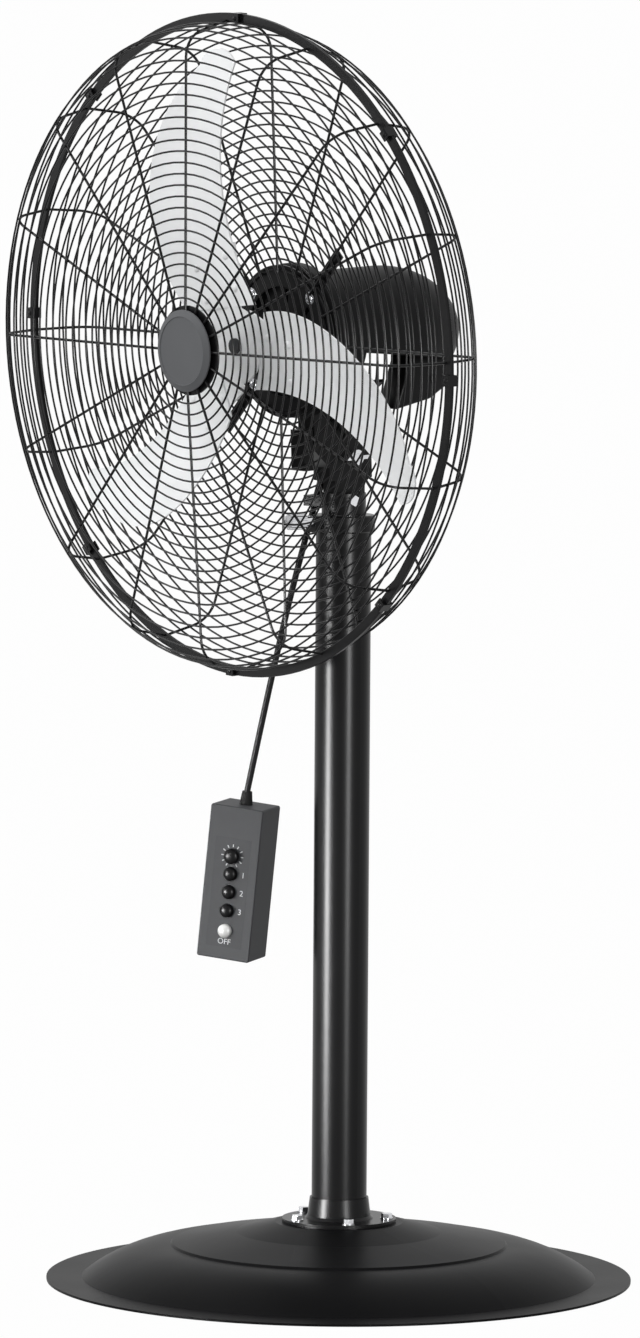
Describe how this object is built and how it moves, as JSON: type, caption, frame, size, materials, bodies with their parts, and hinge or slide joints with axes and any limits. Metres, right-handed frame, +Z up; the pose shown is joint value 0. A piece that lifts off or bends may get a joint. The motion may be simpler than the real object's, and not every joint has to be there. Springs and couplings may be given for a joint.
{
  "type": "pedestal fan",
  "caption": "Pedestal fan with a round wire cage, riveted metal blades, a tilting motor head on a telescoping pole, a dished round base and a corded push-button pendant.",
  "frame": {"origin": "centre of the base on the floor, under the pole", "axes": "+Z up along the pole; the fan blows towards -Y; +X is to the right as seen from the front"},
  "size_m": [0.683, 0.61, 1.3228],
  "materials": {
    "black_paint": "satin black powder coat",
    "wire_paint": "gloss black dip coat",
    "motor_paint": "matte black paint",
    "chrome": "bright plating",
    "steel": "bare machined steel",
    "aluminium": "pale satin sheet",
    "rubber": "matte",
    "cord": "smooth jacket",
    "black_plastic": "fine grain",
    "charcoal_plastic": "fine grain",
    "label": "flat printed film",
    "badge": "bare grey face",
    "white_plastic": "smooth"
  },
  "bodies": {
    "stand": {"base_plate": "black_paint", "base_feet": "rubber", "pole_flange": "black_paint", "flange_bolts": "chrome", "flange_nuts": "steel", "outer_pole": "black_paint", "pole_bushing": "black_plastic", "pole_collar": "black_paint"},
    "clamp_knob": {"collar_knob": "chrome"},
    "riser": {"inner_tube": "chrome"},
    "neck": {"neck_yoke": "black_paint", "neck_bolt": "chrome", "cable_gland": "black_plastic"},
    "head": {"motor_bracket": "black_paint", "tilt_bolt": "chrome", "capacitor": "black_plastic", "motor_body": "motor_paint", "stator_core": "steel", "front_bell": "motor_paint", "front_bearing": "steel", "rear_bearing": "steel", "bell_screws": "chrome", "motor_cover": "motor_paint", "terminal_box": "black_plastic", "rear_guard_plate": "black_paint", "rear_guard_spokes": "wire_paint", "rear_face_rings": "wire_paint", "rear_rim_rings": "wire_paint", "rear_guard_hoop": "wire_paint", "front_guard_spokes": "wire_paint", "front_face_rings": "wire_paint", "front_rim_rings": "wire_paint", "front_guard_hoop": "wire_paint", "guard_clips": "wire_paint", "front_guard_plate": "black_paint", "guard_badge": "badge"},
    "tilt_nut": {"wing_nut": "chrome"},
    "rotor": {"motor_shaft": "steel", "rotor_core": "steel", "fan_hub": "aluminium", "top_blade": "aluminium", "right_blade": "aluminium", "left_blade": "aluminium"},
    "pendant": {"pendant_cord": "cord", "cord_grommet": "rubber", "pendant_cover": "charcoal_plastic", "pendant_back": "charcoal_plastic", "label_panel": "label", "switch_block": "black_plastic"},
    "dial": {"timer_dial": "black_plastic"},
    "low_button": {"low_speed_button": "black_plastic"},
    "mid_button": {"mid_speed_button": "black_plastic"},
    "high_button": {"high_speed_button": "black_plastic"},
    "stop_button": {"off_button": "white_plastic"}
  },
  "joints": [
    {"name": "clamp_turn", "type": "hinge", "parent": "stand", "child": "clamp_knob", "pos_m": [0, 0, 0.79575], "axis": [-0.1736, -0.9848, 0], "continuous": true},
    {"name": "height_slide", "type": "slide", "parent": "stand", "child": "riser", "axis": [0, 0, 1], "range_m": [0, 0.25]},
    {"name": "neck_swivel", "type": "hinge", "parent": "riser", "child": "neck", "pos_m": [0, 0, 0.802], "axis": [0, 0, 1], "range_deg": [-35, 35]},
    {"name": "head_tilt", "type": "hinge", "parent": "neck", "child": "head", "pos_m": [0, 0, 0.862], "axis": [1, 0, 0], "range_deg": [-32.3, 7.7]},
    {"name": "wing_turn", "type": "hinge", "parent": "head", "child": "tilt_nut", "pos_m": [0, 0, 0.862], "axis": [1, 0, 0], "continuous": true},
    {"name": "blade_spin", "type": "hinge", "parent": "head", "child": "rotor", "pos_m": [0, -0.1469, 0.9812], "axis": [0, -0.9992, -0.0401], "continuous": true},
    {"name": "pendant_swing", "type": "hinge", "parent": "neck", "child": "pendant", "pos_m": [-0.03293, -0.01284, 0.80735], "axis": [-0.3633, 0.9317, 0], "range_deg": [-5, 20], "stiffness_Nm_per_rad": 1.2, "springref_deg": 9.17},
    {"name": "dial_turn", "type": "hinge", "parent": "pendant", "child": "dial", "pos_m": [-0.09932, -0.06529, 0.44042], "axis": [0.4893, -0.872, -0.0146], "range_deg": [-150, 150]},
    {"name": "low_press", "type": "slide", "parent": "pendant", "child": "low_button", "axis": [-0.4893, 0.872, 0.0146], "range_m": [0, 0.0035], "stiffness_N_per_m": 300},
    {"name": "mid_press", "type": "slide", "parent": "pendant", "child": "mid_button", "axis": [-0.4893, 0.872, 0.0146], "range_m": [0, 0.0035], "stiffness_N_per_m": 300},
    {"name": "high_press", "type": "slide", "parent": "pendant", "child": "high_button", "axis": [-0.4893, 0.872, 0.0146], "range_m": [0, 0.0035], "stiffness_N_per_m": 300},
    {"name": "stop_press", "type": "slide", "parent": "pendant", "child": "stop_button", "axis": [-0.4893, 0.872, 0.0146], "range_m": [0, 0.0035], "stiffness_N_per_m": 300}
  ]
}
